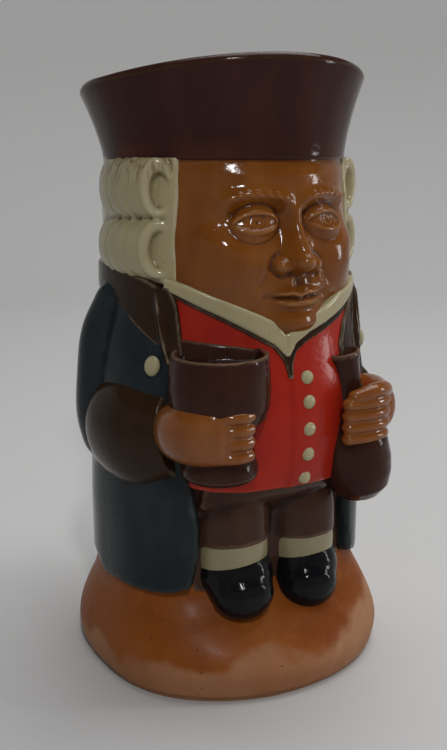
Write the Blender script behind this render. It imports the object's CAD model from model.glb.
import math

import bmesh
import bpy
import numpy as np
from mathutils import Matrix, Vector


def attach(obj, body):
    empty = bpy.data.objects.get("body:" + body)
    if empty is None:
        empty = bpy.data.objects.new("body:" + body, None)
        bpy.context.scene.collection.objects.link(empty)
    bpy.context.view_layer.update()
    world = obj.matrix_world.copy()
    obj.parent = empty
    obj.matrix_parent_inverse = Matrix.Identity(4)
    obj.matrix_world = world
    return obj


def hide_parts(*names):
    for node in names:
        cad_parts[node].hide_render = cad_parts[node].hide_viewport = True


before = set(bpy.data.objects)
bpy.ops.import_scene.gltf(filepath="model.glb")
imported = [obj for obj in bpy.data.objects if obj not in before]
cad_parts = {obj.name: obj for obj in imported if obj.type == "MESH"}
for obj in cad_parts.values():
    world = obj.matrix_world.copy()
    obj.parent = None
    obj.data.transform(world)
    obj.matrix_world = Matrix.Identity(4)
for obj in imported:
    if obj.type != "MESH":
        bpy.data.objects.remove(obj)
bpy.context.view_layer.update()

mm = 0.001

# the pot that every piece is laid on, in millimetres; the figure faces -Y
pot = {
    "height": 215.0,
    "rimRadius": 50.2,
    "rimShift": 1.2,
    "rimDip": 12.5,
    "rimLean": 1.4,
    "lipRadius": 2.3,
    "hatFoot": 183.0,
    "hatFootRadius": 43.3,
    "hatFlare": 1.45,
    "hollowNeck": 180.0,
    "hollowEase": 1.4,
    "baseHalf": 57.7,
    "baseFront": 60.6,
    "baseBack": 54.6,
    "moundHeight": 42.0,
    "moundSlope": 0.038,
    "slopeAt": 0.38,
    "slopeSpread": 0.28,
    "bodyFoot": 30.0,
    "wall": 4.8,
    "faceWall": 6.5,
    "faceWallFrom": 114.0,
    "faceWallTo": 128.0,
    "moundWall": 8.5,
    "floor": 8.0,
    "backPower": 2.1,
    "swellAt": math.radians(-58),
    "swellSpread": math.radians(22),
    "swell": 2.6,
    "keepIn": 0.8,
}


def smoothTable(rows):
    # cubic through a short table, sampled finely so that a whole mesh is read at once
    keys = np.array([row[0] for row in rows], float)
    values = np.array([row[1:] for row in rows], float)
    slopes = np.empty_like(values)
    slopes[1:-1] = (values[2:] - values[:-2]) / (keys[2:] - keys[:-2])[:, None]
    slopes[0] = (values[1] - values[0]) / (keys[1] - keys[0])
    slopes[-1] = (values[-1] - values[-2]) / (keys[-1] - keys[-2])
    fine = np.linspace(keys[0], keys[-1], 60 * len(keys))
    index = np.clip(np.searchsorted(keys, fine, side="right") - 1, 0, len(keys) - 2)
    span = (keys[index + 1] - keys[index])[:, None]
    t = (fine[:, None] - keys[index][:, None]) / span
    cubic = (2 * t ** 3 - 3 * t ** 2 + 1) * values[index] + (t ** 3 - 2 * t ** 2 + t) * slopes[index] * span
    cubic += (3 * t ** 2 - 2 * t ** 3) * values[index + 1] + (t ** 3 - t ** 2) * slopes[index + 1] * span
    return fine, cubic


def readTable(table, where):
    fine, columns = table
    return [np.interp(where, fine, columns[:, column]) for column in range(columns.shape[1])]


# height, half width, front, back and squareness of the front
bodyTable = smoothTable((
    (30, 48.5, 38, 43, 2.9),
    (47, 48.5, 38, 42, 2.9),
    (60, 48.5, 38.5, 42, 2.9),
    (70, 48, 45, 43, 2.5),
    (81, 47.5, 48.5, 44, 2.2),
    (95, 47.5, 49.5, 44, 2.2),
    (109, 47, 48, 44, 2.2),
    (121, 45.5, 44.5, 43.5, 2.2),
    (133, 42.5, 43.5, 42, 2.2),
    (144, 42, 44, 42.5, 2.2),
    (157, 41.8, 43.3, 42.8, 2.2),
    (169, 41.6, 42.4, 42.4, 2.2),
    (178, 41.2, 41.8, 41.8, 2.1),
    (186, 41.2, 41.5, 41.5, 2.1),
))

# the mound in shares of its height and base
moundTable = smoothTable((
    (-0.07, 0.93, 0.94, 0.93, 2.15),
    (0.00, 0.965, 0.975, 0.965, 2.15),
    (0.08, 0.99, 0.997, 0.985, 2.15),
    (0.24, 1.0, 1.0, 0.985, 2.2),
    (0.38, 0.99, 0.94, 0.96, 2.3),
    (0.52, 0.965, 0.83, 0.92, 2.5),
    (0.64, 0.93, 0.715, 0.87, 2.7),
    (0.78, 0.90, 0.62, 0.83, 2.8),
    (1.00, 0.86, 0.56, 0.80, 2.8),
))


def ovalRadius(azimuth, side, front, back, power):
    facesFront = np.cos(azimuth) > 0
    depth = np.where(facesFront, front, back)
    power = np.where(facesFront, power, pot["backPower"])
    across = np.abs(np.sin(azimuth) / side) ** power
    along = np.abs(np.cos(azimuth) / depth) ** power
    return (across + along) ** (-1 / power)


def polar(azimuth, radius, height):
    azimuth, radius, height = np.broadcast_arrays(azimuth, radius, height)
    return np.stack([radius * np.sin(azimuth), -radius * np.cos(azimuth), height], -1)


def bodyRadius(azimuth, height):
    return ovalRadius(azimuth, *readTable(bodyTable, height))


def moundSection(height):
    side, front, back, power = readTable(moundTable, np.asarray(height) / pot["moundHeight"])
    return side * pot["baseHalf"], front * pot["baseFront"], back * pot["baseBack"], power


def moundRadius(azimuth, height):
    share = np.clip(1 - np.asarray(height) / pot["moundHeight"], 0, None)
    turn = (azimuth - pot["swellAt"] + np.pi) % (2 * np.pi) - np.pi
    swell = pot["swell"] * share * np.exp(-(turn / pot["swellSpread"]) ** 2)
    slope = 1 - pot["moundSlope"] * np.exp(-((share - pot["slopeAt"]) / pot["slopeSpread"]) ** 2)
    return ovalRadius(azimuth, *moundSection(height)) * slope + swell


def rimHeight(azimuth):
    lean = np.cos(azimuth)
    return pot["height"] - pot["rimDip"] / 2 * (1 - np.sign(lean) * np.abs(lean) ** pot["rimLean"])


def hollowRadius(azimuth, height):
    # the inside wall: the outer skin drawn in by the wall, then flaring with the hat
    azimuth, height = np.broadcast_arrays(np.asarray(azimuth, float), np.asarray(height, float))
    side, front, back, power = readTable(bodyTable, height)
    behindFace = (height - pot["faceWallFrom"]) / (pot["faceWallTo"] - pot["faceWallFrom"])
    wall = pot["wall"] + (pot["faceWall"] - pot["wall"]) * np.clip(behindFace, 0, 1)
    lowSide, lowFront, lowBack, lowPower = moundSection(height + pot["floor"] / 2)
    low = height < pot["moundHeight"]
    bare = height <= pot["bodyFoot"]
    sections = []
    for body, mound in ((side, lowSide), (front, lowFront), (back, lowBack)):
        body, mound = body - wall, mound - pot["moundWall"]
        sections.append(np.where(bare, mound, np.where(low, np.maximum(body, mound), body)))
    radius = ovalRadius(azimuth, *sections, np.where(low, lowPower, power))
    start = readTable(bodyTable, pot["hollowNeck"])[0] - pot["faceWall"] + pot["hollowEase"]
    top = rimHeight(azimuth) - pot["lipRadius"]
    share = np.clip((height - pot["hollowNeck"]) / (top - pot["hollowNeck"]), 0, 1)
    inner = pot["rimRadius"] - 2 * pot["lipRadius"]
    flared = start + (inner - start) * share ** pot["hatFlare"]
    return np.where(height > pot["hollowNeck"], flared, radius)


def softStep(value):
    value = np.clip(value, 0, 1)
    return value * value * (3 - 2 * value)


# forms are pairs of points in millimetres and faces; these say how finely they are drawn
formDetail = {
    "ballSides": 40,
    "ballRings": 22,
    "limbSides": 36,
    "limbBands": 10,
    "turnedSides": 72,
    "capTurns": (0, 0.3, 0.6, 0.9, 1.2, 1.45),
    "weldGap": 0.01,
    "sheetSpread": 50.0,
}


def gridForm(points, wrapAlong):
    # rows go round and close; columns run along and close only if asked
    rows, columns = points.shape[:2]
    last = columns if wrapAlong else columns - 1
    row, column = np.meshgrid(np.arange(rows), np.arange(last), indexing="ij")
    nextRow, nextColumn = (row + 1) % rows, (column + 1) % columns
    quads = [row * columns + column, nextRow * columns + column, nextRow * columns + nextColumn,
             row * columns + nextColumn]
    return points.reshape(-1, 3), np.stack(quads, -1).reshape(-1, 4).tolist()


def loftForm(rings):
    points, faces = gridForm(np.swapaxes(np.array(rings), 0, 1), False)
    count, columns = len(rings[0]), len(rings)
    faces.append([row * columns for row in range(count)])
    faces.append([row * columns + columns - 1 for row in range(count)][::-1])
    return points, faces


def circle(count):
    return np.arange(count) * 2 * np.pi / count


def spin(points, angles, shift):
    x, y, z = (math.radians(angle) for angle in angles)
    turnX = np.array([[1, 0, 0], [0, math.cos(x), -math.sin(x)], [0, math.sin(x), math.cos(x)]])
    turnY = np.array([[math.cos(y), 0, math.sin(y)], [0, 1, 0], [-math.sin(y), 0, math.cos(y)]])
    turnZ = np.array([[math.cos(z), -math.sin(z), 0], [math.sin(z), math.cos(z), 0], [0, 0, 1]])
    return points @ (turnZ @ turnY @ turnX).T + np.array(shift)


def turnedForm(profile, foot, lean=(0, 0, 0), sides=formDetail["turnedSides"], depth=1.0):
    # a profile of radius and height spun round its axis; depth squashes it from front to back
    around = circle(sides)
    rings = []
    for radius, height in profile:
        across, along = radius * np.cos(around), radius * depth * np.sin(around)
        rings.append(np.stack([across, along, np.full_like(around, height)], -1))
    points, faces = loftForm(rings)
    return spin(points, lean, foot), faces


def ballForm(centre, radii, turn=(0, 0, 0)):
    pole = formDetail["capTurns"][-1]
    lifts = np.linspace(-pole, pole, formDetail["ballRings"])
    profile = [(radii[0] * math.cos(lift), radii[2] * math.sin(lift)) for lift in lifts]
    return turnedForm(profile, centre, turn, formDetail["ballSides"], radii[1] / radii[0])


def limbForm(stations, flatEnds=""):
    # a rounded limb along stations of place, sideways radius and upright radius
    places = np.array([station[0] for station in stations], float)
    run = places[-1] - places[0]
    upright = abs(run[2]) > 0.75 * np.linalg.norm(run)
    top = np.array([0, -1, 0]) if upright else np.array([0, 0, 1])
    table = smoothTable([(index, *spot, side, rise) for index, (spot, side, rise) in enumerate(stations)])
    bands = np.linspace(0, len(stations) - 1, formDetail["limbBands"] * len(stations))
    x, y, z, sides, rises = readTable(table, bands)
    centres = np.stack([x, y, z], -1)
    around = circle(formDetail["limbSides"])
    endCap = [(math.sin(turn), math.cos(turn)) for turn in formDetail["capTurns"]]
    startCap = [(-shift, share) for shift, share in endCap[::-1]]
    rings = []
    for index, centre in enumerate(centres):
        forward = centres[min(index + 1, len(centres) - 1)] - centres[max(index - 1, 0)]
        forward /= np.linalg.norm(forward)
        across = np.cross(forward, top)
        across /= np.linalg.norm(across)
        upward = np.cross(across, forward)
        side, rise = sides[index], rises[index]
        caps = [(0.0, 1.0)]
        if index == 0 and "start" not in flatEnds:
            caps = startCap
        elif index == len(centres) - 1 and "end" not in flatEnds:
            caps = endCap
        for shift, share in caps:
            middle = centre + forward * shift * min(side, rise)
            offsets = np.outer(np.cos(around) * side * share, across)
            offsets += np.outer(np.sin(around) * rise * share, upward)
            rings.append(middle + offsets)
    return loftForm(rings)


def meshFromForms(name, forms):
    points, faces, start = [], [], 0
    for formPoints, formFaces in forms:
        points.append(np.asarray(formPoints, float))
        faces += [[index + start for index in face] for face in formFaces]
        start += len(formPoints)
    mesh = bpy.data.meshes.new(name)
    mesh.from_pydata((np.concatenate(points) * mm).tolist(), [], faces)
    mesh.update()
    return mesh


def meshPoints(mesh):
    flat = np.empty(len(mesh.vertices) * 3, np.float32)
    mesh.vertices.foreach_get("co", flat)
    return flat.reshape(-1, 3).astype(float) / mm


def setMeshPoints(mesh, points):
    mesh.vertices.foreach_set("co", (points * mm).astype(np.float32).ravel())
    mesh.update()


def evaluated(item):
    bpy.context.view_layer.update()
    return bpy.data.meshes.new_from_object(item.evaluated_get(bpy.context.evaluated_depsgraph_get()))


def newObject(name, data):
    item = bpy.data.objects.new(name, data)
    bpy.context.scene.collection.objects.link(item)
    return item


def applied(item):
    mesh = evaluated(item)
    item.modifiers.clear()
    old = item.data
    item.data = mesh
    bpy.data.meshes.remove(old)
    return item


def voxelRemesh(item, size):
    grid = item.modifiers.new("Grid", "REMESH")
    grid.mode = "VOXEL"
    grid.voxel_size = size * mm
    return applied(item)


def addEase(item, rounds):
    soft = item.modifiers.new("Ease", "SMOOTH")
    soft.factor = 0.5
    soft.iterations = rounds


def keepOutOfHollow(mesh):
    points = meshPoints(mesh)
    radius = np.hypot(points[:, 0], points[:, 1])
    azimuth = np.arctan2(points[:, 0], -points[:, 1])
    limit = hollowRadius(azimuth, points[:, 2]) + pot["keepIn"]
    scale = np.where(radius < limit, limit / np.maximum(radius, 0.01), 1)
    points[:, :2] *= scale[:, None]
    setMeshPoints(mesh, points)


def markGlaze(item, rounds=16):
    # how far each point stands above its softened neighbourhood: ridges are positive, hollows negative
    mesh = item.data
    addEase(item, rounds)
    eased = evaluated(item)
    item.modifiers.clear()
    normals = np.empty(len(mesh.vertices) * 3, np.float32)
    mesh.vertex_normals.foreach_get("vector", normals)
    depth = ((meshPoints(mesh) - meshPoints(eased)) * normals.reshape(-1, 3)).sum(1)
    bpy.data.meshes.remove(eased)
    attribute = mesh.attributes.new("glazeDepth", "FLOAT", "POINT")
    attribute.data.foreach_set("value", depth.astype(np.float32))


def finishPiece(item, material):
    mesh = item.data
    mesh.materials.clear()
    mesh.materials.append(material)
    mesh.shade_smooth()
    markGlaze(item)
    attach(item, "root")
    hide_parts("jug")
    print("made", item.name, len(mesh.polygons), "faces")
    return item


def fuse(name, forms, voxel, rounds=3):
    item = newObject(name, meshFromForms(name, forms))
    voxelRemesh(item, voxel)
    addEase(item, rounds)
    applied(item)
    keepOutOfHollow(item.data)
    return item


def weldSkin(name, form):
    mesh = meshFromForms(name, [form])
    skin = bmesh.new()
    skin.from_mesh(mesh)
    bmesh.ops.remove_doubles(skin, verts=skin.verts, dist=formDetail["weldGap"] * mm)
    bmesh.ops.recalc_face_normals(skin, faces=skin.faces)
    skin.to_mesh(mesh)
    skin.free()
    return newObject(name, mesh)


def ringSkin(name, around, rings, wrapAlong=False):
    # rings of radius, height and, where one is given, a shift back, welded into one skin
    loops = []
    for radius, height, *shift in rings:
        loop = polar(around, radius, height)
        loop[:, 1] += sum(shift)
        loops.append(loop)
    return weldSkin(name, gridForm(np.swapaxes(np.array(loops), 0, 1), wrapAlong))


def ripple(around, height, waves):
    # each wave is a rise, a count round the pot, a lean and a start
    return sum(rise * np.sin(count * around + lean * height + start) for rise, count, lean, start in waves)


def sheetForm(outline, low, high, side=1, voxel=0.8):
    # clay sheet bent round the body between two lifts; its outline is azimuth in degrees and height
    spread = formDetail["sheetSpread"]
    curve = bpy.data.curves.new("sheet", "CURVE")
    curve.dimensions = "2D"
    curve.fill_mode = "BOTH"
    curve.extrude = (high - low) / 2 * mm
    spline = curve.splines.new("POLY")
    spline.points.add(len(outline) - 1)
    for point, (azimuth, height) in zip(spline.points, outline):
        point.co = (math.radians(side * azimuth) * spread * mm, height * mm, 0, 1)
    spline.use_cyclic_u = True
    flat = newObject("sheet", curve)
    item = newObject("sheet", evaluated(flat))
    bpy.data.objects.remove(flat)
    voxelRemesh(item, voxel)
    points = meshPoints(item.data)
    azimuth, height = points[:, 0] / spread, points[:, 1]
    bent = polar(azimuth, bodyRadius(azimuth, height) + (low + high) / 2 + points[:, 2], height)
    faces = [list(polygon.vertices) for polygon in item.data.polygons]
    bpy.data.objects.remove(item)
    return bent, faces


reliefDepth = 0.2 * mm


# shader sheets: a wire is one socket, and sums on wires add their Math nodes
class Wire:
    def __init__(self, sheet, socket):
        self.sheet = sheet
        self.socket = socket

    def mathNode(self, operation, first, second=0.0):
        return self.sheet.node("ShaderNodeMath", {"operation": operation}, {0: first, 1: second})

    def __add__(self, other):
        return self.mathNode("ADD", self, other)

    def __radd__(self, other):
        return self.mathNode("ADD", other, self)

    def __sub__(self, other):
        return self.mathNode("SUBTRACT", self, other)

    def __rsub__(self, other):
        return self.mathNode("SUBTRACT", other, self)

    def __mul__(self, other):
        return self.mathNode("MULTIPLY", self, other)

    def __rmul__(self, other):
        return self.mathNode("MULTIPLY", other, self)

    def __neg__(self):
        return self.mathNode("MULTIPLY", self, -1.0)


class Sheet:
    def __init__(self, name):
        self.material = bpy.data.materials.new(name)
        self.material.use_nodes = True
        self.tree = self.material.node_tree
        self.shader = self.tree.nodes["Principled BSDF"]

    def node(self, kind, settings=None, sockets=None, out=0):
        made = self.tree.nodes.new(kind)
        for key, value in (settings or {}).items():
            setattr(made, key, value)
        for key, value in (sockets or {}).items():
            self.feed(made.inputs[key], value)
        return Wire(self, made.outputs[out])

    def feed(self, socket, value):
        if isinstance(value, Wire):
            self.tree.links.new(value.socket, socket)
        elif isinstance(value, tuple) and len(value) == 3 and socket.type == "RGBA":
            socket.default_value = (*value, 1.0)
        else:
            socket.default_value = value

    def set(self, **values):
        for key, value in values.items():
            self.feed(self.shader.inputs[key.replace("_", " ")], value)

    def step(self, value, low, high):
        settings = {"interpolation_type": "SMOOTHSTEP", "clamp": True}
        return self.node("ShaderNodeMapRange", settings, {0: value, 1: low, 2: high, 3: 0.0, 4: 1.0})

    def mix(self, mask, first, second):
        return self.node("ShaderNodeMix", {"data_type": "RGBA"}, {0: mask, 6: first, 7: second}, 2)

    def axis(self, where, index):
        return self.node("ShaderNodeSeparateXYZ", {}, {0: where}, index)

    def noise(self, where, scale, detail=3.0, roughness=0.5):
        sockets = {"Vector": where, "Scale": scale, "Detail": detail, "Roughness": roughness}
        return self.node("ShaderNodeTexNoise", {}, sockets)

    def runs(self, where, scale, detail, drawn):
        # noise drawn out along the height, as glaze runs down
        tall = self.node("ShaderNodeVectorMath", {"operation": "MULTIPLY"}, {0: where, 1: (1.0, 1.0, drawn)})
        return self.noise(tall, scale, detail)

    def specks(self, where, scale, size, clumps):
        # small round dots, one in each cell, kept where a coarser noise is high
        sockets = {"Vector": where, "Scale": scale, "Randomness": 1.0}
        distance = self.node("ShaderNodeTexVoronoi", {"feature": "F1"}, sockets)
        clumpScale, low, high = clumps
        kept = self.step(self.noise(where, clumpScale, 1.0), low, high)
        return (1 - self.step(distance, size * 0.5, size)) * kept

    def relief(self, height):
        sockets = {"Strength": 1.0, "Distance": reliefDepth, "Height": height}
        return self.node("ShaderNodeBump", {}, sockets)


def glazeMaterial(name, look):
    # glossy fired glaze: thin and pale on ridges, deep in hollows, mottled, pitted, with a faint orange peel
    sheet = Sheet(name)
    where = sheet.node("ShaderNodeTexCoord", out=3)
    upward = sheet.axis(where, 2)
    depth = sheet.node("ShaderNodeAttribute", {"attribute_name": "glazeDepth"}, out=2)
    waver = (sheet.noise(where, look["waverScale"], 2.0) - 0.5) * look["waver"]
    pool = sheet.step(-depth + waver, look["poolFrom"], look["poolTo"])
    ridge = sheet.step(depth + waver, look["ridgeFrom"], look["ridgeTo"])
    ridge = ridge * sheet.step(upward, look["ridgeAbove"], look["ridgeAbove"] + 0.003)
    cloud = sheet.step(sheet.noise(where, look["cloudScale"], 4.0, 0.6), 0.35, 0.7)
    streak = sheet.step(sheet.runs(where, look["streakScale"], 3.0, 0.16), 0.4, 0.7)
    hair = sheet.step(sheet.runs(where, look["stainScale"], 2.0, 0.12), 0.45, 0.68)
    stain = sheet.step(upward, look["stainFrom"], look["stainTo"]) * hair
    dots = sheet.specks(where, look["speckScale"], look["speckSize"], look["speckClumps"]) * look["speck"]
    colour = sheet.mix(cloud * look["cloud"], look["colour"], look["cloudColour"])
    for layer, mask in (("streak", streak), ("stain", stain), ("pool", pool), ("ridge", ridge)):
        colour = sheet.mix(mask * look[layer], colour, look[layer + "Colour"])
    colour = sheet.mix(dots, colour, look["speckColour"])
    gloss = look["roughness"] + cloud * look["roughSpread"] + dots * look["speckRough"]
    height = dots * -look["speckPit"]
    for layer, detail in (("peel", 2.0), ("sway", 2.0), ("grain", 1.0)):
        height = height + sheet.noise(where, look[layer + "Scale"], detail) * look[layer]
    sheet.set(Base_Color=colour, Roughness=gloss, Normal=sheet.relief(height), IOR=look["ior"])
    sheet.set(Coat_Weight=look["coat"], Coat_Roughness=0.04, Coat_IOR=1.5)
    return sheet.material


# each wash has a strength and a colour; the scales are of noises on metres, and the heights are in metres
plainGlaze = {
    "cloud": 0.6,
    "cloudScale": 60.0,
    "streak": 0.35,
    "streakScale": 110.0,
    "pool": 0.8,
    "poolFrom": 0.02,
    "poolTo": 0.22,
    "ridge": 0.6,
    "ridgeFrom": 0.07,
    "ridgeTo": 0.24,
    "ridgeAbove": -1.0,
    "waver": 0.06,
    "waverScale": 420.0,
    "speck": 0.8,
    "speckColour": (0.01, 0.008, 0.006),
    "speckScale": 420.0,
    "speckSize": 0.16,
    "speckClumps": (90.0, 0.5, 0.62),
    "speckRough": 0.25,
    "speckPit": 0.35,
    "stain": 0.0,
    "stainColour": (0.1, 0.05, 0.02),
    "stainScale": 700.0,
    "stainFrom": 0.170,
    "stainTo": 0.182,
    "roughness": 0.1,
    "roughSpread": 0.05,
    "peel": 0.5,
    "peelScale": 620.0,
    "sway": 1.1,
    "swayScale": 62.0,
    "grain": 0.02,
    "grainScale": 2400.0,
    "ior": 1.42,
    "coat": 0.12,
}


def glaze(**changes):
    return {**plainGlaze, **changes}


def darkGlaze(**changes):
    # the near-black glazes mirror less of the room
    return glaze(**{"ior": 1.22, "coat": 0.03, "speck": 0.2, **changes})


glazes = {
    "hat": darkGlaze(
        colour=(0.032, 0.0105, 0.0080),
        cloudColour=(0.041, 0.013, 0.0095),
        streakColour=(0.052, 0.016, 0.011),
        poolColour=(0.016, 0.007, 0.006),
        ridgeColour=(0.075, 0.070, 0.016),
        ridge=0.75,
        ridgeFrom=0.17,
        ridgeTo=0.34,
        ridgeAbove=0.192,
        streak=0.5,
        stain=0.7,
        stainColour=(0.085, 0.022, 0.013),
        stainScale=40.0,
        stainFrom=0.1900,
        stainTo=0.1845,
        speck=0.0,
    ),
    "skin": glaze(
        ior=1.3,
        colour=(0.195, 0.061, 0.0080),
        cloudColour=(0.150, 0.041, 0.0058),
        streakColour=(0.27, 0.098, 0.022),
        poolColour=(0.060, 0.0145, 0.0045),
        ridgeColour=(0.42, 0.20, 0.075),
        poolFrom=0.03,
        poolTo=0.34,
        ridge=0.5,
        ridgeFrom=0.1,
        ridgeTo=0.4,
        speck=0.5,
        speckColour=(0.05, 0.014, 0.005),
    ),
    "hand": glaze(
        ior=1.36,
        colour=(0.225, 0.071, 0.0125),
        cloudColour=(0.170, 0.047, 0.008),
        streakColour=(0.31, 0.115, 0.032),
        poolColour=(0.070, 0.018, 0.006),
        ridgeColour=(0.50, 0.26, 0.115),
        poolFrom=0.03,
        poolTo=0.34,
        ridgeFrom=0.08,
        ridgeTo=0.34,
        speck=0.4,
    ),
    "wig": glaze(
        colour=(0.39, 0.34, 0.19),
        cloudColour=(0.345, 0.295, 0.155),
        streakColour=(0.40, 0.35, 0.21),
        poolColour=(0.17, 0.135, 0.055),
        ridgeColour=(0.52, 0.47, 0.31),
        roughness=0.16,
        speckColour=(0.03, 0.02, 0.012),
        speck=0.5,
        poolTo=0.3,
        stain=0.85,
        stainColour=(0.16, 0.085, 0.035),
    ),
    "stocking": glaze(
        colour=(0.27, 0.235, 0.13),
        cloudColour=(0.235, 0.20, 0.105),
        streakColour=(0.29, 0.25, 0.145),
        poolColour=(0.10, 0.08, 0.035),
        ridgeColour=(0.42, 0.38, 0.25),
        roughness=0.14,
        speckColour=(0.03, 0.02, 0.012),
        speck=0.4,
    ),
    "coat": darkGlaze(
        colour=(0.0115, 0.0165, 0.021),
        cloudColour=(0.020, 0.0275, 0.031),
        streakColour=(0.027, 0.037, 0.038),
        poolColour=(0.006, 0.008, 0.011),
        ridgeColour=(0.055, 0.066, 0.055),
        ridgeFrom=0.12,
        ridgeTo=0.5,
        cloud=0.8,
    ),
    "trim": darkGlaze(
        colour=(0.026, 0.0120, 0.0052),
        cloudColour=(0.034, 0.0185, 0.0085),
        streakColour=(0.041, 0.0225, 0.0105),
        poolColour=(0.014, 0.007, 0.004),
        ridgeColour=(0.30, 0.235, 0.155),
        ridgeFrom=0.09,
        ridgeTo=0.32,
        ridge=0.75,
    ),
    "waistcoat": glaze(
        ior=1.24,
        coat=0.06,
        colour=(0.375, 0.0170, 0.0070),
        cloudColour=(0.315, 0.0140, 0.0065),
        streakColour=(0.43, 0.028, 0.0125),
        poolColour=(0.14, 0.009, 0.005),
        ridgeColour=(0.60, 0.11, 0.06),
        roughness=0.2,
        ridge=0.35,
        speck=0.0,
    ),
    "breeches": darkGlaze(
        colour=(0.047, 0.0205, 0.0130),
        cloudColour=(0.058, 0.0270, 0.0170),
        streakColour=(0.078, 0.037, 0.024),
        poolColour=(0.018, 0.008, 0.006),
        ridgeColour=(0.14, 0.08, 0.05),
    ),
    "vessel": darkGlaze(
        colour=(0.034, 0.0102, 0.0062),
        cloudColour=(0.045, 0.0160, 0.0095),
        streakColour=(0.055, 0.0215, 0.0130),
        poolColour=(0.013, 0.006, 0.004),
        ridgeColour=(0.19, 0.115, 0.075),
    ),
    "shoe": darkGlaze(
        colour=(0.0055, 0.0055, 0.0065),
        cloudColour=(0.008, 0.008, 0.009),
        streakColour=(0.012, 0.013, 0.015),
        poolColour=(0.003, 0.003, 0.003),
        ridgeColour=(0.024, 0.026, 0.030),
        roughness=0.08,
        speck=0.0,
    ),
    "liner": glaze(
        colour=(0.30, 0.185, 0.10),
        cloudColour=(0.25, 0.145, 0.075),
        streakColour=(0.33, 0.21, 0.12),
        poolColour=(0.14, 0.07, 0.035),
        ridgeColour=(0.38, 0.27, 0.17),
        ior=1.25,
        coat=0.02,
        roughness=0.4,
    ),
}
glazes["cuff"] = {**glazes["trim"], "ridgeColour": (0.17, 0.12, 0.07), "ridgeFrom": 0.14, "ridgeTo": 0.6}
materials = {name: glazeMaterial(name + "Glaze", values) for name, values in glazes.items()}

# orange-brown glaze poured over the top of the mound, thinning to paler matt clay lower down
moundGlaze = {
    "rich": (0.255, 0.070, 0.0095),
    "richDark": (0.210, 0.050, 0.0065),
    "richPale": (0.30, 0.095, 0.017),
    "clay": (0.30, 0.125, 0.055),
    "clayPale": (0.37, 0.185, 0.092),
    "clayDark": (0.25, 0.095, 0.038),
    "pool": (0.11, 0.034, 0.010),
    "foot": (0.36, 0.19, 0.10),
    "speck": (0.07, 0.025, 0.010),
    "pouredFrom": 0.0105,
    "pouredTo": 0.0150,
    "waver": 0.03,
    "fallToRight": 0.26,
    "footFrom": 0.0012,
    "footTo": 0.0032,
}


def moundMaterial(look):
    sheet = Sheet("moundGlaze")
    where = sheet.node("ShaderNodeTexCoord", out=3)
    depth = sheet.node("ShaderNodeAttribute", {"attribute_name": "glazeDepth"}, out=2)
    across, upward = sheet.axis(where, 0), sheet.axis(where, 2)
    coarse = sheet.noise(where, 22.0, 3.0, 0.6)
    fine = sheet.noise(where, 160.0, 4.0, 0.6)
    # the poured edge wavers, and lies higher towards the flask
    edge = (sheet.noise(where, 34.0, 3.0, 0.55) - 0.5) * look["waver"]
    toRight = across.mathNode("MAXIMUM", across, 0.0)
    poured = sheet.step(upward + edge - toRight * look["fallToRight"], look["pouredFrom"], look["pouredTo"])
    rich = sheet.mix(sheet.step(coarse, 0.35, 0.65), look["rich"], look["richDark"])
    rich = sheet.mix(sheet.step(fine, 0.45, 0.75) * 0.5, rich, look["richPale"])
    clay = sheet.mix(sheet.step(coarse, 0.3, 0.7), look["clay"], look["clayPale"])
    clay = sheet.mix(sheet.step(fine, 0.4, 0.8) * 0.4, clay, look["clayDark"])
    colour = sheet.mix(poured, clay, rich)
    colour = sheet.mix(sheet.step(-depth, 0.03, 0.3) * 0.7, colour, look["pool"])
    foot = 1 - sheet.step(upward, look["footFrom"], look["footTo"])
    colour = sheet.mix(foot * 0.6, colour, look["foot"])
    dots = sheet.specks(where, 330.0, 0.15, (70.0, 0.46, 0.6))
    colour = sheet.mix(dots * 0.7, colour, look["speck"])
    gloss = 0.5 - poured * 0.08 + sheet.step(fine, 0.4, 0.8) * 0.06
    height = sheet.noise(where, 520.0, 2.0) * 0.5 + sheet.noise(where, 1700.0, 2.0) * (0.18 - poured * 0.14)
    height = height + sheet.noise(where, 60.0, 2.0) * 1.2 - dots * 0.5
    sheet.set(Base_Color=colour, Roughness=gloss, Normal=sheet.relief(height), IOR=1.22)
    sheet.set(Coat_Weight=poured * 0.03, Coat_Roughness=0.2)
    return sheet.material


materials["mound"] = moundMaterial(moundGlaze)
print("materials ready")

# the mound

moundLook = {
    "columns": 260,
    "step": 0.6,
    "footRoll": 0.7,
    "rollGap": 0.4,
    "ridgeHeight": 1.3,
    "ridgeIn": 0.32,
    "grooveIn": 0.75,
    "grooveAbove": 0.55,
    "sideFrom": 2.6,
    "waves": ((0.25, 3, 0.06, 0.0), (0.18, 7, 0.11, 1.0)),
    "skin": 0.4,
    "top": 42.0,
    "inside": 6.8,
}


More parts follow.
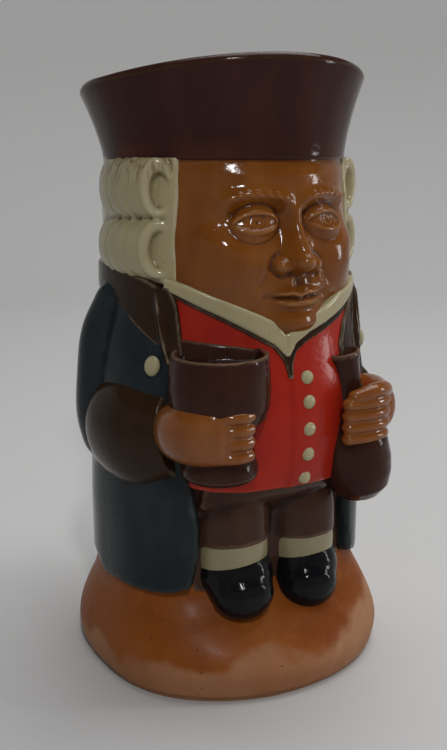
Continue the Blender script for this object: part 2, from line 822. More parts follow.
def buildMound():
    around = circle(moundLook["columns"])
    foot = moundRadius(around, 0.0)
    roll, ridge = moundLook["footRoll"], moundLook["ridgeHeight"]
    top, inside = moundLook["top"], moundLook["inside"]

    def inner(height):
        return hollowRadius(around, height) + pot["keepIn"]

    rings = [(foot * share, 0.0) for share in (0, 0.5, 0.9, 0.94)]
    rings.append((foot - 2 * roll, 0.0))
    for turn in np.linspace(0.2, 1.4, 4):
        radius = foot - roll - moundLook["rollGap"] + roll * math.sin(turn)
        rings.append((radius, roll * (1 - math.cos(turn))))
    rings.append((foot - moundLook["ridgeIn"], ridge))
    rings.append((foot - moundLook["grooveIn"], ridge + moundLook["grooveAbove"]))
    for height in np.arange(moundLook["sideFrom"], top, moundLook["step"]):
        wave = ripple(around, height, moundLook["waves"]) * softStep((height - 3) / 5)
        outer = moundRadius(around, height) + wave
        rings.append((np.maximum(outer, inner(height) + moundLook["skin"]), height))
    rings.append((inner(top) + 0.2, top + 0.3))
    rings += [(inner(height), height) for height in np.arange(top, 10, -3.0)]
    rings.append((inner(9.0) - 1.0, inside))
    rings.append((foot * 0, inside))
    return finishPiece(ringSkin("mound", around, rings), materials["mound"])


buildMound()

# the hat

hatLook = {
    "columns": 240,
    "rows": 46,
    "innerRows": 18,
    "footSteps": ((3.2, 0.5), (0.9, 0.5), (0.25, 0.25)),
    "facets": 0.16,
    "flutes": ((0.5, 9, 0.0, 0.6), (0.3, 17, 0.0, 2.0), (0.35, 5, 0.0, -0.8)),
    "innerFoot": 184.2,
    "innerGap": 0.3,
    "innerLap": 0.7,
}


def buildHat():
    around = circle(hatLook["columns"])
    rim = rimHeight(around) - pot["lipRadius"]
    lip, shift = pot["rimRadius"] - pot["lipRadius"], pot["rimShift"]
    foot, footRadius, low = pot["hatFoot"], pot["hatFootRadius"], hatLook["innerFoot"]
    rings = [(footRadius - inward, foot - drop) for inward, drop in hatLook["footSteps"]]
    for share in np.linspace(0.012, 1, hatLook["rows"]):
        flute = hatLook["facets"] * ripple(around, 0.0, hatLook["flutes"])
        radius = footRadius + (pot["rimRadius"] - footRadius) * share ** pot["hatFlare"]
        radius = radius + flute * math.sin(math.pi * share)
        rings.append((radius, foot + (rim - foot) * share, shift * share))
    for turn in np.linspace(0.3, math.pi, 12):
        radius = lip + pot["lipRadius"] * math.cos(turn)
        rings.append((radius, rim + pot["lipRadius"] * math.sin(turn), shift))
    for share in np.linspace(0.97, 0, hatLook["innerRows"]):
        height = low + (rim - low) * share
        rings.append((hollowRadius(around, height) - hatLook["innerGap"], height, shift * share))
    rings.append((hollowRadius(around, low) + hatLook["innerLap"], low - hatLook["innerGap"]))
    return finishPiece(ringSkin("hat", around, rings, True), materials["hat"])


buildHat()

# the glazed inside

linerLook = {"columns": 120, "thickness": 2.2, "top": 187.0, "corner": 5.0, "outStep": 3.0, "inStep": 1.8}


def buildLiner():
    around = circle(linerLook["columns"])
    floor, top = pot["floor"], linerLook["top"]
    thick, corner = linerLook["thickness"], linerLook["corner"]
    bend = floor + corner

    def inner(height):
        return hollowRadius(around, height)

    rings = [(0.0, floor - thick), (inner(10.0) + thick - 6, floor - thick)]
    rings += [(inner(height) + thick, height) for height in np.arange(floor, top, linerLook["outStep"])]
    rings.append((inner(top) + thick - 0.4, top))
    rings += [(inner(height), height) for height in np.arange(top - 0.3, bend, -linerLook["inStep"])]
    for turn in np.linspace(0.2, 1.5, 6):
        rings.append((inner(bend) - corner * (1 - math.cos(turn)), bend - corner * math.sin(turn)))
    rings.append((0.0, floor))
    return finishPiece(ringSkin("inside", around, rings), materials["liner"])


buildLiner()

# the face: a calm, plain one, laid out on the usual thirds

faceLook = {"grid": 0.46, "edge": math.radians(58), "low": 113.0, "high": 186.5, "headRadius": 43.0}
# broad planes: place across and up, spread across and up, and rise
headPlanes = {
    "forehead": (0, 178, 22, 10, 1.3),
    "temples": (34, 167, 6, 9, -0.9),
    "cheeks": (20.5, 150.0, 10.5, 9.0, 3.6),
    "cheekbones": (26, 157, 8, 4.5, 1.4),
    "muzzle": (0, 137, 13, 8.5, 2.2),
    "jaw": (27, 136, 10, 9, 1.3),
    "chin": (0, 128.8, 9.5, 5.6, 3.8),
    "overChin": (0, 134.8, 8, 1.9, -1.3),
    "besideMouth": (14.5, 134, 3.2, 8, -1.1),
}
eyeLook = {"apart": 13.6, "level": 162.6, "half": 7.2, "upper": 2.75, "lower": 2.0, "iris": 2.45}
browLook = {"level": 170.2, "arch": 1.7, "half": 10.5, "rise": 0.75, "ledge": 2.1}
mouthLook = {"level": 138.2, "upper": 1.7, "lower": 2.2, "corner": 11.2, "underNose": 145.2}
# height, rise and half width of the nose
noseTable = smoothTable((
    (143.0, 0.0, 5.0),
    (145.2, 1.2, 5.2),
    (146.8, 5.6, 5.3),
    (148.8, 8.6, 5.2),
    (151, 9.2, 4.9),
    (154, 7.9, 4.4),
    (158, 5.9, 3.9),
    (162, 4.2, 3.7),
    (166, 3.2, 4.2),
    (170, 1.6, 6.0),
    (175, 0.2, 9.0),
))


def bump(u, v, atU, atV, wideU, wideV, rise=1.0):
    return rise * np.exp(-(((u - atU) / wideU) ** 2 + ((v - atV) / wideV) ** 2))


def groove(distance, width):
    return np.exp(-(distance / width) ** 2)


def softMax(first, second, blend):
    share = np.clip(0.5 + 0.5 * (first - second) / blend, 0, 1)
    return second + (first - second) * share + blend * share * (1 - share)


def dome(u, v, atU, atV, wideU, wideV, rise):
    inside = np.clip(1 - ((u - atU) / wideU) ** 2 - ((v - atV) / wideV) ** 2, 0, 1)
    return rise * inside ** 0.62


def noseRelief(wide, v):
    rise, half = readTable(noseTable, v)
    ridge = rise * np.exp(-(wide / half) ** 2.0)
    tip = dome(wide, v, 0, 150.2, 4.6, 4.2, 9.6)
    wings = dome(wide, v, 5.6, 148.9, 3.6, 3.3, 5.0)
    nose = softMax(softMax(ridge, tip, 2.4), wings, 2.2)
    nose += bump(wide, v, 3.1, 146.4, 1.5, 0.85, -1.7)
    aroundWing = np.hypot(wide - 5.4, (v - 149.2) * 1.05) - 4.1
    nose += -0.55 * groove(aroundWing, 0.7) * softStep((wide - 5.5) / 1.5)
    return nose


def eyeRelief(wide, v):
    across = wide - eyeLook["apart"]
    up = v - eyeLook["level"] + 0.03 * across
    near = softStep((10.5 - np.abs(across)) / 4)
    # the socket and the ball in it
    eye = bump(across, up, 0.5, 1.6, 10, 6.4, -2.9) + bump(across, up, -8.0, 1.0, 3.0, 5.0, -1.3)
    eye += dome(across, up, 0, 0, 8.4, 6.2, 3.5)
    # the lids, their folds and the opening between them
    shape = np.clip(1 - (across / eyeLook["half"]) ** 2, 0, 1)
    upper = up - eyeLook["upper"] * shape ** 0.72
    lower = -eyeLook["lower"] * shape ** 0.85 - up
    outside = np.maximum(upper, lower)
    eye += 0.75 * softStep(outside / 0.6 + 0.6) * softStep((3.0 - outside) / 2.4) * near
    eye += 0.35 * groove(upper - 0.75, 0.7) * near
    eye += -0.75 * groove(upper - 2.9, 0.75) * near * softStep((up + 1) / 2)
    eye += -0.5 * groove(lower - 2.6, 0.9) * near * softStep((7.5 - np.abs(across)) / 4) * softStep(-up)
    opening = softStep(-outside / 0.5 + 0.2)
    toIris = np.hypot(across, up - 0.35)
    eye += opening * (-0.3 * groove(toIris - eyeLook["iris"], 0.32) - 0.55 * groove(toIris, 0.85))
    return eye


def browRelief(wide, v):
    across = wide - eyeLook["apart"]
    line = v - browLook["level"] - browLook["arch"] * (1 - ((across + 0.5) / browLook["half"]) ** 2)
    span = softStep((12.5 - np.abs(across + 0.5)) / 6)
    strand = 0.82 + 0.18 * np.sin(2.1 * wide - 1.7 * line)
    brow = browLook["ledge"] * groove(line + 0.8, 3.1) * softStep((14.5 - np.abs(across)) / 6)
    return brow + browLook["rise"] * groove(line, 1.35) * span * strand


def mouthRelief(wide, v):
    level, corner = mouthLook["level"], mouthLook["corner"]
    line = v - level - 0.25 * (wide / 9) ** 2 + 0.35 * groove(wide, 2.2)
    bow = 0.55 * groove(wide, 1.3) - 0.35 * groove(wide - 2.6, 1.6)
    mouth = mouthLook["upper"] * groove(line - 1.6 + bow, 1.35) * softStep((11 - wide) / 8)
    mouth += mouthLook["lower"] * groove(line + 2.1, 1.65) * softStep((9.8 - wide) / 7)
    mouth += -1.5 * groove(line, 0.62) * softStep((11.5 - wide) / 5)
    mouth += bump(wide, v, corner, level + 0.5, 1.6, 1.7, -0.9)
    mouth += bump(wide, v, corner + 3.2, level + 1.0, 2.6, 3.6, 0.7)
    # the dip under the nose, and the folds beside the mouth
    underNose = softStep((mouthLook["underNose"] - v) / 1.5) * softStep((v - level - 2.4) / 1.8)
    mouth += (0.3 * groove(wide - 2.3, 0.9) - 0.7 * groove(wide, 1.5)) * underNose
    fold = 8.6 + (149.8 - v) * 0.62
    mouth += -0.75 * groove(wide - fold, 1.5) * softStep((150.5 - v) / 3) * softStep((v - level - 1) / 5)
    return mouth


def faceRelief(u, v):
    # both halves are alike; the relief dies away under the hat and under the neckcloth
    wide = np.abs(u)
    relief = sum(bump(wide, v, *plane) for plane in headPlanes.values())
    relief += noseRelief(wide, v) + eyeRelief(wide, v) + browRelief(wide, v) + mouthRelief(wide, v)
    neckline = 121 + 0.3 * np.clip(wide - 4, 0, None)
    return softStep((183.0 - v) / 6) * softStep((v - neckline) / 8) * relief


def buildFace():
    spacing, edge = faceLook["grid"], faceLook["edge"]
    low, high, headRadius = faceLook["low"], faceLook["high"], faceLook["headRadius"]
    columns = int(2 * edge * headRadius / spacing)
    rows = int((high - low) / spacing)
    turns, levels = np.linspace(-edge, edge, columns), np.linspace(low, high, rows)
    azimuth, height = np.meshgrid(turns, levels, indexing="ij")
    outer = polar(azimuth, bodyRadius(azimuth, height) + faceRelief(azimuth * headRadius, height), height)
    inner = polar(azimuth, hollowRadius(azimuth, height) + pot["keepIn"], height)
    count = columns * rows
    index = np.arange(count).reshape(columns, rows)
    quads = np.stack([index[:-1, :-1], index[1:, :-1], index[1:, 1:], index[:-1, 1:]], -1).reshape(-1, 4)
    faces = quads.tolist() + (quads[:, ::-1] + count).tolist()
    border = list(index[:, 0]) + list(index[-1, 1:]) + list(index[-2::-1, -1]) + list(index[0, -2:0:-1])
    for first, second in zip(border, border[1:] + border[:1]):
        faces.append([int(second), int(first), int(first) + count, int(second) + count])
    points = np.concatenate([outer.reshape(-1, 3), inner.reshape(-1, 3)])
    item = weldSkin("face", (points, faces))
    return finishPiece(item, materials["skin"])


buildFace()

# small forms set out again and again are grown by geometry nodes on a few marked points
def repeatTree(name, sizes, shape):
    tree = bpy.data.node_groups.new(name, "GeometryNodeTree")
    tree.interface.new_socket("Geometry", in_out="INPUT", socket_type="NodeSocketGeometry")
    for label, value in sizes.items():
        socket = tree.interface.new_socket(label, in_out="INPUT", socket_type="NodeSocketFloat")
        socket.default_value = value
    tree.interface.new_socket("Glaze", in_out="INPUT", socket_type="NodeSocketMaterial")
    tree.interface.new_socket("Geometry", in_out="OUTPUT", socket_type="NodeSocketGeometry")

    def node(kind, sockets=None, **settings):
        made = tree.nodes.new(kind)
        for key, value in settings.items():
            setattr(made, key, value)
        for key, value in (sockets or {}).items():
            if isinstance(value, bpy.types.NodeSocket):
                tree.links.new(value, made.inputs[key])
            else:
                made.inputs[key].default_value = value
        return made

    entry = node("NodeGroupInput")
    turn = node("GeometryNodeInputNamedAttribute", {"Name": "turn"}, data_type="FLOAT_VECTOR")
    size = node("GeometryNodeInputNamedAttribute", {"Name": "size"}, data_type="FLOAT_VECTOR")
    spread = node("GeometryNodeInstanceOnPoints", {
        "Points": entry.outputs["Geometry"],
        "Instance": shape(node, entry),
        "Rotation": turn.outputs["Attribute"],
        "Scale": size.outputs["Attribute"],
    })
    solid = node("GeometryNodeRealizeInstances", {"Geometry": spread.outputs["Instances"]})
    glazed = node("GeometryNodeSetMaterial", {
        "Geometry": solid.outputs["Geometry"],
        "Material": entry.outputs["Glaze"],
    })
    node("NodeGroupOutput", {"Geometry": glazed.outputs["Geometry"]})
    return tree


def domeShape(node, entry):
    ball = node("GeometryNodeMeshUVSphere", {"Segments": 32, "Rings": 20, "Radius": entry.outputs["Radius"]})
    return ball.outputs["Mesh"]


def growRepeats(name, tree, spots, values, material):
    # each spot is a place, a turn and a size
    mesh = bpy.data.meshes.new(name)
    mesh.from_pydata([tuple(np.array(spot[0]) * mm) for spot in spots], [], [])
    for label, column in (("turn", 1), ("size", 2)):
        attribute = mesh.attributes.new(label, "FLOAT_VECTOR", "POINT")
        attribute.data.foreach_set("vector", np.array([spot[column] for spot in spots], np.float32).ravel())
    item = newObject(name, mesh)
    grow = item.modifiers.new("Grow", "NODES")
    grow.node_group = tree
    for socket in tree.interface.items_tree:
        if socket.in_out == "INPUT" and socket.name in values:
            grow[socket.identifier] = values[socket.name] * mm
        elif socket.in_out == "INPUT" and socket.name == "Glaze":
            grow[socket.identifier] = material
    return applied(item)


def formOf(item):
    form = meshPoints(item.data), [list(polygon.vertices) for polygon in item.data.polygons]
    bpy.data.objects.remove(item)
    return form


domeTree = repeatTree("domes", {"Radius": 0.001}, domeShape)

# the wig

wigLook = {
    "voxel": 0.64,
    "first": 60.0,
    "last": 119.0,
    "faceTurn": 34.0,
    "reach": 45.5,
    "drawIn": 0.094,
    "rib": 4.6,
    "ribDepth": 0.085,
    "rows": (
        {"level": 173.8, "wide": 6.0, "tall": 9.7, "hollow": (3.0, 5.9), "drop": 0.9},
        {"level": 153.9, "wide": 7.0, "tall": 9.8, "hollow": (3.6, 6.2), "drop": 0.3},
    ),
    "hollowDepth": 4.2,
    "lip": 1.6,
    "slip": 0.6,
    "cap": ((51.8, 183.6), (51.3, 170), (52.6, 158), (51.6, 142), (70, 143), (125, 144), (125, 183.6)),
    "back": ((118, 183.6), (118, 144), (242, 144), (242, 183.6)),
    "lock": {"reach": 38.8, "level": 163.5, "size": (5.2, 5.6, 23), "every": 7.4},
}


def rollForm(side, row):
    # a rolled curl: leaning ribs round the head, ending in front in a rounded lip and an oval hollow
    around = circle(56)
    rings = []

    def add(degrees, wide, tall, forward, slip=0.0, sink=0.0):
        turn = math.radians(degrees)
        facing = turn - math.radians(wigLook["faceTurn"])
        reach = wigLook["reach"] - wigLook["drawIn"] * (degrees - wigLook["first"])
        middle = polar(turn, reach, row["level"] - 0.02 * (degrees - wigLook["first"]) - sink)
        across = np.array([math.cos(facing), math.sin(facing), 0])
        ahead = np.array([math.sin(facing), -math.cos(facing), 0])
        ring = middle + ahead * forward - across * slip + np.outer(np.cos(around) * wide, across)
        ring[:, 2] += np.sin(around) * tall
        ring[:, 0] *= side
        rings.append(ring)

    wide, tall, first = row["wide"], row["tall"], wigLook["first"]
    holeWide, holeTall = row["hollow"]
    slip, sink = wigLook["slip"], row["drop"]
    for shareWide, shareTall, shareDeep in ((0.15, 0.15, 1), (0.6, 0.65, 0.92), (0.85, 0.9, 0.6)):
        deep = -wigLook["hollowDepth"] * shareDeep
        add(first, holeWide * shareWide, holeTall * shareTall, deep, slip, sink)
    for turn in np.linspace(0, math.pi, 9):
        share = (1 - math.cos(turn)) / 2
        lipWide, lipTall = holeWide + (wide - holeWide) * share, holeTall + (tall - holeTall) * share
        lift = wigLook["lip"] * math.sin(turn) - 0.4
        add(first, lipWide, lipTall, lift, slip * (1 - share), sink * (1 - share))
    for degrees in np.arange(first + 0.6, wigLook["last"], 0.55):
        wave = abs(math.sin(math.pi * (degrees - first) / wigLook["rib"]))
        swell = 1 - wigLook["ribDepth"] * (1 - math.sqrt(wave)) + 0.03 * math.sin(degrees * 0.9)
        add(degrees, wide * swell, tall * swell, 0.0)
    return loftForm(rings)


def buildWig():
    forms = []
    for side in (-1, 1):
        forms += [rollForm(side, row) for row in wigLook["rows"]]
        forms.append(sheetForm(wigLook["cap"], -2.0, 1.5, side, 0.8))
    forms.append(sheetForm(wigLook["back"], -2.0, 0.6, 1, 0.8))
    lock = wigLook["lock"]
    spots = []
    for turn in np.radians(np.arange(121, 240, lock["every"])):
        spots.append((polar(turn, lock["reach"], lock["level"]), (0, 0, turn), lock["size"]))
    forms.append(formOf(growRepeats("locks", domeTree, spots, {"Radius": 1.0}, materials["wig"])))
    item = fuse("wig", forms, wigLook["voxel"], 2)
    return finishPiece(item, materials["wig"])


buildWig()

# the neckcloth

neckLook = {
    "voxel": 0.5,
    "low": -1.5,
    "high": 3.5,
    "leftOver": 0.4,
    "right": ((-57, 141.4), (-47, 138), (-31, 132), (-22, 128), (-11, 123), (-5.4, 118.2), (-4.4, 122),
              (-6.2, 126.2), (-9, 130), (-17, 133.2), (-31, 138), (-47, 143), (-57, 145)),
    "left": ((-5.2, 118.2), (-1, 123), (6, 126), (22, 130.4), (38, 135), (52, 138), (52, 141.5), (38, 139.6),
             (26, 138), (12, 133), (1, 130), (-5.6, 126)),
}


def buildNeckcloth():
    low, high = neckLook["low"], neckLook["high"]
    forms = [sheetForm(neckLook["right"], low, high, 1, 0.55)]
    forms.append(sheetForm(neckLook["left"], low, high + neckLook["leftOver"], 1, 0.55))
    item = fuse("neckcloth", forms, neckLook["voxel"], 3)
    return finishPiece(item, materials["wig"])


buildNeckcloth()

# the waistcoat, its left front lapping over at the buttons

lapAt = -4.2
vestLook = {
    "voxel": 0.85,
    "low": -2.4,
    "high": 1.8,
    "lap": 0.75,
    "right": ((-53, 77), (-45, 74.8), (-36, 73.4), (-22, 72.6), (-3.3, 72), (2, 72.4), (2, 118), (-5, 120),
              (-11, 124.6), (-22, 129.6), (-31, 133.6), (-53, 141)),
    "left": ((lapAt, 72.0), (0, 72.2), (15, 71.4), (27, 71.6), (37, 73), (49, 75.8), (49, 138.4),
             (38, 136.2), (22, 131.8), (6, 127.4), (-1, 124.2), (lapAt, 119)),
    "edge": ((-57, 140), (-47, 136.6), (-31, 130.6), (-22, 126.6), (-11, 121.6), (-6.8, 117), (-5.8, 111.4),
             (-3.6, 111.4), (-3.2, 115.4), (-0.4, 119.8), (6, 122.8), (22, 127.2), (38, 131.8), (52, 134.8),
             (52, 139), (38, 136), (22, 131.4), (6, 127), (-1, 124), (-5.2, 119.6), (-11, 124), (-22, 129),
             (-31, 133), (-47, 139), (-57, 142.4)),
    "edgeLow": -1.0,
    "edgeHigh": 2.75,
}


def buildWaistcoat():
    low, high = vestLook["low"], vestLook["high"]
    forms = [sheetForm(vestLook["right"], low, high, 1, 0.7)]
    forms.append(sheetForm(vestLook["left"], low, high + vestLook["lap"], 1, 0.7))
    item = fuse("waistcoat", forms, vestLook["voxel"], 3)
    finishPiece(item, materials["waistcoat"])
    edge = sheetForm(vestLook["edge"], vestLook["edgeLow"], vestLook["edgeHigh"], 1, 0.5)
    strip = fuse("waistcoatEdge", [edge], 0.5, 2)
    return finishPiece(strip, materials["trim"])


buildWaistcoat()

# the coat with its sleeves

coatLook = {
    "voxel": 1.15,
    "low": -2.0,
    "high": 3.4,
    "leftSag": 2.6,
    "front": ((42.5, 48), (42.2, 60), (43.5, 72), (47, 83), (49, 106), (52, 120), (54, 140), (100, 143),
              (181, 143), (181, 37), (110, 37), (99, 36.6), (90, 33)),
}
sleeveStations = (
    ((42, 4, 133), 8.3, 8.3),
    ((44.3, 6.5, 121), 10.3, 10.3),
    ((43.8, 9, 105), 11.8, 11.8),
    ((43.4, 9.5, 93), 12.5, 12.5),
    ((42.5, 7, 85.5), 12.8, 12.8),
)


def mirrored(stations, side):
    return tuple(((side * x, y, z), wide, rise) for (x, y, z), wide, rise in stations)


def buildCoat():
    forms = []
    for side in (-1, 1):
        sag = coatLook["leftSag"] if side > 0 else 0
        outline = [(45.5, 36.6 - sag), *coatLook["front"], (72, 34.2 - sag / 2), (54, 34.6 - sag)]
        forms.append(sheetForm(outline, coatLook["low"], coatLook["high"], side, 0.85))
        forms.append(limbForm(mirrored(sleeveStations, side)))
    item = fuse("coat", forms, coatLook["voxel"], 3)
    return finishPiece(item, materials["coat"])


buildCoat()

# collar, lapels and cuffs

trimLook = {
    "voxel": 0.64,
    "cuffVoxel": 0.9,
    "low": -1.8,
    "high": 3.7,
    "collarTop": ((181, 147), (140, 147), (97, 147), (75, 145.6), (66, 144), (58.5, 141.4), (54, 143)),
    "rightLapel": ((51, 136), (49, 127), (47, 117), (46.5, 110), (50, 112), (52.4, 120)),
    "leftLapel": ((47, 138.6), (37.6, 133.7), (29, 127), (24, 120), (23, 113), (25, 108), (36, 110),
                  (48, 117)),
    "collarFoot": ((58, 122.4), (64, 125), (71, 128), (77.5, 131.2), (86, 134.6), (91, 136.4), (140, 138),
                   (181, 138)),
    "rightFold": ((-59.5, 139.5, 1.6), (-58.5, 136, 2.7), (-56.8, 130, 3.1), (-54.6, 124, 3.0),
                  (-52.6, 118, 2.0)),
    "leftFold": ((53, 138, 1.6), (49, 135, 2.7), (43.5, 129, 3.1), (40, 122, 3.1), (38, 115, 2.0)),
    "foldRadii": (2.2, 2.4),
    "crease": 2.15,
    "creaseRadii": (0.75, 0.75),
}
cuffStations = (
    ((43.5, 6, 89.5), 11.5, 16.5),
    ((45, -4, 90), 12.2, 18.8),
    ((43.6, -17, 90.5), 12, 19),
    ((38.5, -31.5, 93), 9.5, 14.5),
)


def foldForm(fold, lift, radii):
    # a roll of clay laid on the body through turns in degrees, heights and rises
    stations = []
    for degrees, height, rise in fold:
        turn = math.radians(degrees)
        reach = float(bodyRadius(turn, height)) + rise + lift
        stations.append((polar(turn, reach, height), *radii))
    return limbForm(stations)


def buildTrim():
    forms = []
    for side, hand in ((-1, "right"), (1, "left")):
        collar = (*trimLook["collarTop"], *trimLook[hand + "Lapel"], *trimLook["collarFoot"])
        forms.append(sheetForm(collar, trimLook["low"], trimLook["high"], side, 0.7))
        fold = trimLook[hand + "Fold"]
        forms.append(foldForm(fold, 0.0, trimLook["foldRadii"]))
        forms.append(foldForm(fold, trimLook["crease"], trimLook["creaseRadii"]))
    item = fuse("collar", forms, trimLook["voxel"], 3)
    finishPiece(item, materials["trim"])
    forms = [limbForm(mirrored(cuffStations, side), "start end") for side in (-1, 1)]
    cuffs = fuse("cuffs", forms, trimLook["cuffVoxel"], 2)
    return finishPiece(cuffs, materials["cuff"])


buildTrim()

# breeches, stockings and shoes

legLook = {
    "apart": 15.0,
    "shift": -1.8,
    "drop": 1.5,
    "breeches": ((0, 0, -28, 71, 13.6, 9), (0, 0, -31, 62, 13.8, 13.2), (0, 0, -31.5, 50, 14, 13.6)),
    "stocking": ((0, 0, -31.5, 54, 12.9, 12.5), (0, 0, -31.7, 46, 13.5, 13.1),
                 (0, 0, -31.5, 37, 12.8, 12.4)),
    "shoe": ((0, 0, -26, 42.6, 13.6, 8.6), (-0.3, 0, -34.4, 37.4, 13.7, 12.2),
             (-0.8, -1.4, -40.8, 32, 11.4, 9.8)),
    "behind": ((-46, 33), (46, 33), (46, 78), (-46, 78)),
    "top": ((-42, 66), (42, 66), (40, 75), (-40, 75)),
}


def legForm(part, side, flatEnds=""):
    # each station is a shift inwards, a shift to the side, a depth, a height and two radii
    middle = side * legLook["apart"] + legLook["shift"]
    lift = -legLook["drop"] * side
    stations = []
    for inwards, sideways, depth, height, wide, rise in legLook[part]:
        stations.append(((middle + side * inwards + sideways, depth, height + lift), wide, rise))
    return limbForm(stations, flatEnds)


def buildLegs():
    breeches = [sheetForm(legLook["behind"], -3.4, -1.2), sheetForm(legLook["top"], -2.0, 0.4)]
    breeches += [legForm("breeches", side, "end") for side in (-1, 1)]
    stockings = [legForm("stocking", side, "end") for side in (-1, 1)]
    shoes = [legForm("shoe", side) for side in (-1, 1)]
    finishPiece(fuse("breeches", breeches, 0.85), materials["breeches"])
    finishPiece(fuse("stockings", stockings, 0.8), materials["stocking"])
    finishPiece(fuse("shoes", shoes, 0.7), materials["shoe"])


buildLegs()

# the mug and the flask

mugLook = {
    "foot": (-29, -44, 73.5),
    "voxel": 0.58,
    "profile": ((0.05, 45), (12.2, 45), (13.4, 46), (14.2, 48), (14.7, 48.7), (15.2, 48.9), (15.8, 48.5),
                (16, 47.4), (16.2, 45.6), (16.5, 43), (16.9, 37), (16.6, 31.5), (15.4, 27.5), (13, 25),
                (11.8, 22), (11.6, 16), (12.3, 12.8), (12.9, 11), (12.9, 8.4), (11.4, 6.6), (0.05, 6.6)),
    "back": ((-52, 117.5), (-13, 117.5), (-13.4, 121.2), (-27, 123.2), (-39, 124.4), (-52, 125.4)),
    "backRise": 2.7,
}
flaskLook = {
    "foot": (28.4, -46.5, 72.5),
    "lean": (-1.5, -10, 0),
    "voxel": 0.55,
    "profile": ((0.05, 44.9), (4.4, 45.0), (5.1, 45.7), (5.9, 45.7), (6.4, 44.8), (6.2, 43.6), (5.7, 42.2),
                (5.4, 39), (5.4, 34), (5.9, 27), (9.3, 20.5), (12.4, 12), (12.9, 5), (12.4, -0.4),
                (10.8, -5.6), (7.2, -9.2), (0.05, -10.6)),
}


def buildVessels():
    back = sheetForm(mugLook["back"], -1.0, mugLook["backRise"], 1, 0.5)
    cup = turnedForm(mugLook["profile"], mugLook["foot"])
    mug = fuse("mug", [cup, back], mugLook["voxel"], 2)
    finishPiece(mug, materials["vessel"])
    bottle = turnedForm(flaskLook["profile"], flaskLook["foot"], flaskLook["lean"])
    flask = fuse("flask", [bottle], flaskLook["voxel"], 2)
    finishPiece(flask, materials["vessel"])


buildVessels()

# the hands

handLook = {
    "voxel": 0.45,
    "shares": (1.04, 1.02, 1.0, 0.96),
    "fingerDepths": (3.2, 3.2, 3.1, 2.8),
    "coreDepths": (2.4, 2.2, 2.1, 1.8),
    "right": {"top": 104.4, "pitch": 4.4, "route": ((-37.5, -51.5), (-35, -56), (-31, -58.2), (-27, -57.8))},
    "left": {"top": 100.6, "pitch": 4.1, "route": ((34, -51), (31, -54.6), (24, -56), (16.5, -55))},
    "palm": ((33.2, -50, 95.8), (6.2, 5.2, 9.0), (0, 0, 35)),
}
# the right hand's back runs on into its fingers in one broad form
rightBack = (
    ((-38, -30, 95), 8.0, 9.0),
    ((-41.2, -39.5, 96.4), 8.2, 9.8),
    ((-40.8, -47.5, 97.6), 8.0, 10.2),
    ((-37.4, -53.4, 98.2), 6.4, 10.0),
    ((-34.0, -55.6, 98.4), 4.2, 9.4),
)
leftBack = (
    ((38, -30, 95), 8.0, 9.0),
    ((39, -40, 96), 7.5, 9.6),
    ((35.5, -48.5, 96.4), 6.2, 9.4),
)
leftThumb = (
    ((37.4, -47.5, 100.5), 3.6, 3.4),
    ((32.5, -54.0, 104.2), 3.2, 2.8),
    ((25.5, -56.6, 104.8), 3.0, 2.5),
    ((18.5, -55.4, 103.2), 2.6, 2.3),
)


def fingerForms(hand):
    # four fingers along a route seen from above, with a knuckle each, round a core that fills between them
    route, top, pitch = hand["route"], hand["top"], hand["pitch"]
    knuckle, middle = route[:2]
    joint = (middle[0] + (knuckle[0] - middle[0]) * 0.25, middle[1] + 0.2)
    forms = []
    for index, share in enumerate(handLook["shares"]):
        level = top - pitch * index
        half = pitch * 0.53 * share
        depths = zip(route, handLook["fingerDepths"])
        forms.append(limbForm([((*spot, level), deep * share, half) for spot, deep in depths]))
        forms.append(ballForm((*joint, level), (2.4, 3.0, pitch * 0.56)))
    depths = zip(route, handLook["coreDepths"])
    forms.append(limbForm([((*spot, top - 1.5 * pitch), deep, pitch * 1.9) for spot, deep in depths]))
    return forms


def buildHands():
    forms = [limbForm(rightBack), limbForm(leftBack), ballForm(*handLook["palm"]), limbForm(leftThumb)]
    forms += fingerForms(handLook["right"]) + fingerForms(handLook["left"])
    item = fuse("hands", forms, handLook["voxel"], 2)
    return finishPiece(item, materials["hand"])


buildHands()

# the buttons

buttonLook = {
    "heights": (111.2, 103, 93.6, 84.6, 75.7),
    "across": 2.0,
    "nod": 0.25,
    "size": (2.5, 1.7, 2.45),
    "cuffAt": (44.4, -26.6, 116.3),
    "cuffLean": 0.3,
    "cuffTurn": math.radians(59),
    "cuffSize": (2.8, 1.7, 3.6),
}


def buildButtons():
    spots = []
    turn = (0.0, buttonLook["nod"], 0.0)
    for height in buttonLook["heights"]:
        front = float(bodyRadius(0.0, height)) + vestLook["high"] + vestLook["lap"] * 0.6
        spots.append(((buttonLook["across"], -front, height), turn, buttonLook["size"]))
    across, depth, height = buttonLook["cuffAt"]
    for side in (-1, 1):
        turn = (0.0, -side * buttonLook["cuffLean"], side * buttonLook["cuffTurn"])
        spots.append(((side * across, depth, height), turn, buttonLook["cuffSize"]))
    item = growRepeats("buttons", domeTree, spots, {"Radius": 1.0}, materials["wig"])
    return finishPiece(item, materials["wig"])


buildButtons()

# the loop handle behind

handleLook = {
    "top": 161.0,
    "foot": 66.0,
    "reach": 34.0,
    "thickness": 9.5,
    "width": 13.0,
    "root": 40.0,
    "waist": 44.0,
    "pads": ((43.5, 160.6, (8.5, 3.6, 7.0)), (43.6, 67.6, (8.0, 3.4, 8.0))),
}


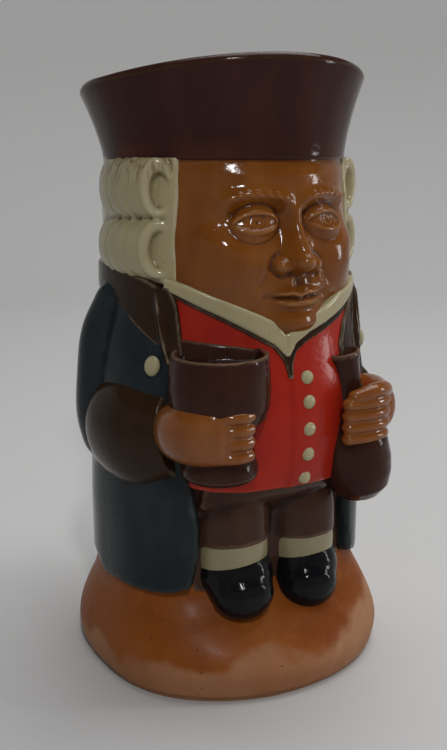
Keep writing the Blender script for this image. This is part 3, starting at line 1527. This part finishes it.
def buildHandle():
    root, top, foot = handleLook["root"], handleLook["top"], handleLook["foot"]
    back = handleLook["waist"] + handleLook["reach"] - handleLook["thickness"] / 2
    drop = top - foot
    spots = (
        (root, top),
        (root + (back - root) * 0.55, top + drop * 0.06),
        (back - (back - root) * 0.04, top - drop * 0.13),
        (back, top - drop * 0.38),
        (root + (back - root) * 0.72, top - drop * 0.74),
        (root, foot),
    )
    curve = bpy.data.curves.new("handle", "CURVE")
    curve.dimensions = "3D"
    curve.bevel_depth = handleLook["thickness"] / 2 * mm
    curve.bevel_resolution = 10
    curve.resolution_u = 24
    curve.use_fill_caps = True
    spline = curve.splines.new("BEZIER")
    spline.bezier_points.add(len(spots) - 1)
    for point, (depth, height) in zip(spline.bezier_points, spots):
        point.co = (0, depth * mm, height * mm)
        point.handle_left_type = "AUTO"
        point.handle_right_type = "AUTO"
    rod = newObject("rod", curve)
    item = newObject("handle", evaluated(rod))
    bpy.data.objects.remove(rod)
    points = meshPoints(item.data)
    points[:, 0] *= handleLook["width"] / handleLook["thickness"]
    setMeshPoints(item.data, points)
    forms = [formOf(item)]
    forms += [ballForm((0, depth, height), size) for depth, height, size in handleLook["pads"]]
    item = fuse("handle", forms, 0.85, 3)
    return finishPiece(item, materials["coat"])


buildHandle()

# floor, lights and camera

stageLook = {"flat": 900.0, "bend": 350.0, "wall": 750.0, "colour": (0.59, 0.585, 0.58), "weave": 0.97}


def buildStage():
    around = circle(96)
    flat, bend = stageLook["flat"], stageLook["bend"]
    rings = [polar(around, radius, 0.0) for radius in (1e-4, *np.linspace(60, flat, 14))]
    for turn in np.linspace(0.1, math.pi / 2, 12):
        rings.append(polar(around, flat + bend * math.sin(turn), bend * (1 - math.cos(turn))))
    for height in np.linspace(bend * 1.1, stageLook["wall"], 6):
        rings.append(polar(around, flat + bend, height))
    form = gridForm(np.swapaxes(np.array(rings), 0, 1), False)
    floor = newObject("floor", meshFromForms("floor", [form]))
    floor.data.shade_smooth()
    sheet = Sheet("paleCloth")
    where = sheet.node("ShaderNodeTexCoord", out=3)
    weave = sheet.noise(where, 900.0, 2.0) * 0.6 + sheet.noise(where, 30.0, 3.0) * 0.4
    shade = tuple(value * stageLook["weave"] for value in stageLook["colour"])
    sheet.set(Base_Color=sheet.mix(weave, shade, stageLook["colour"]), Roughness=0.9)
    floor.data.materials.append(sheet.material)


buildStage()

lights = {
    "top": {
        "at": (0.4, 0.12, 1.4),
        "aim": (0.05, 0.05, 0),
        "size": (1.2, 1.2),
        "spread": 180,
        "power": 14.5,
    },
    "window": {
        "at": (-0.28, -0.62, 0.72),
        "aim": (0, 0, 0.1),
        "size": (0.055, 0.11),
        "spread": 120,
        "power": 0.9,
    },
    "side": {
        "at": (0.85, -0.5, 0.3),
        "aim": (0, 0, 0.1),
        "size": (0.08, 0.4),
        "spread": 120,
        "power": 0.65,
    },
}
roomLight = {"colour": (0.86, 0.9, 0.97, 1.0), "strength": 0.06}


def aimed(name, data, values):
    item = newObject(name, data)
    item.location = values["at"]
    item.rotation_euler = (Vector(values["aim"]) - item.location).to_track_quat("-Z", "Y").to_euler()
    return item


def buildLights():
    for name, values in lights.items():
        lamp = bpy.data.lights.new(name, "AREA")
        lamp.shape = "RECTANGLE"
        lamp.size, lamp.size_y = values["size"]
        lamp.spread = math.radians(values["spread"])
        lamp.energy = values["power"]
        aimed(name, lamp, values)
    world = bpy.data.worlds.new("softWorld")
    world.use_nodes = True
    backdrop = world.node_tree.nodes["Background"]
    backdrop.inputs["Color"].default_value = roomLight["colour"]
    backdrop.inputs["Strength"].default_value = roomLight["strength"]
    bpy.context.scene.world = world
    bpy.context.scene.view_settings.view_transform = "Standard"


buildLights()

cameraLook = {"at": (-0.1777, -0.2844, 0.184), "aim": (0.0, 0.0, 0.1020), "lens": 43.2, "sensor": 36.0}


def buildCamera():
    lens = bpy.data.cameras.new("camera")
    lens.lens = cameraLook["lens"]
    lens.sensor_width = cameraLook["sensor"]
    lens.clip_start = 0.01
    bpy.context.scene.camera = aimed("camera", lens, cameraLook)


buildCamera()
print("stage ready")
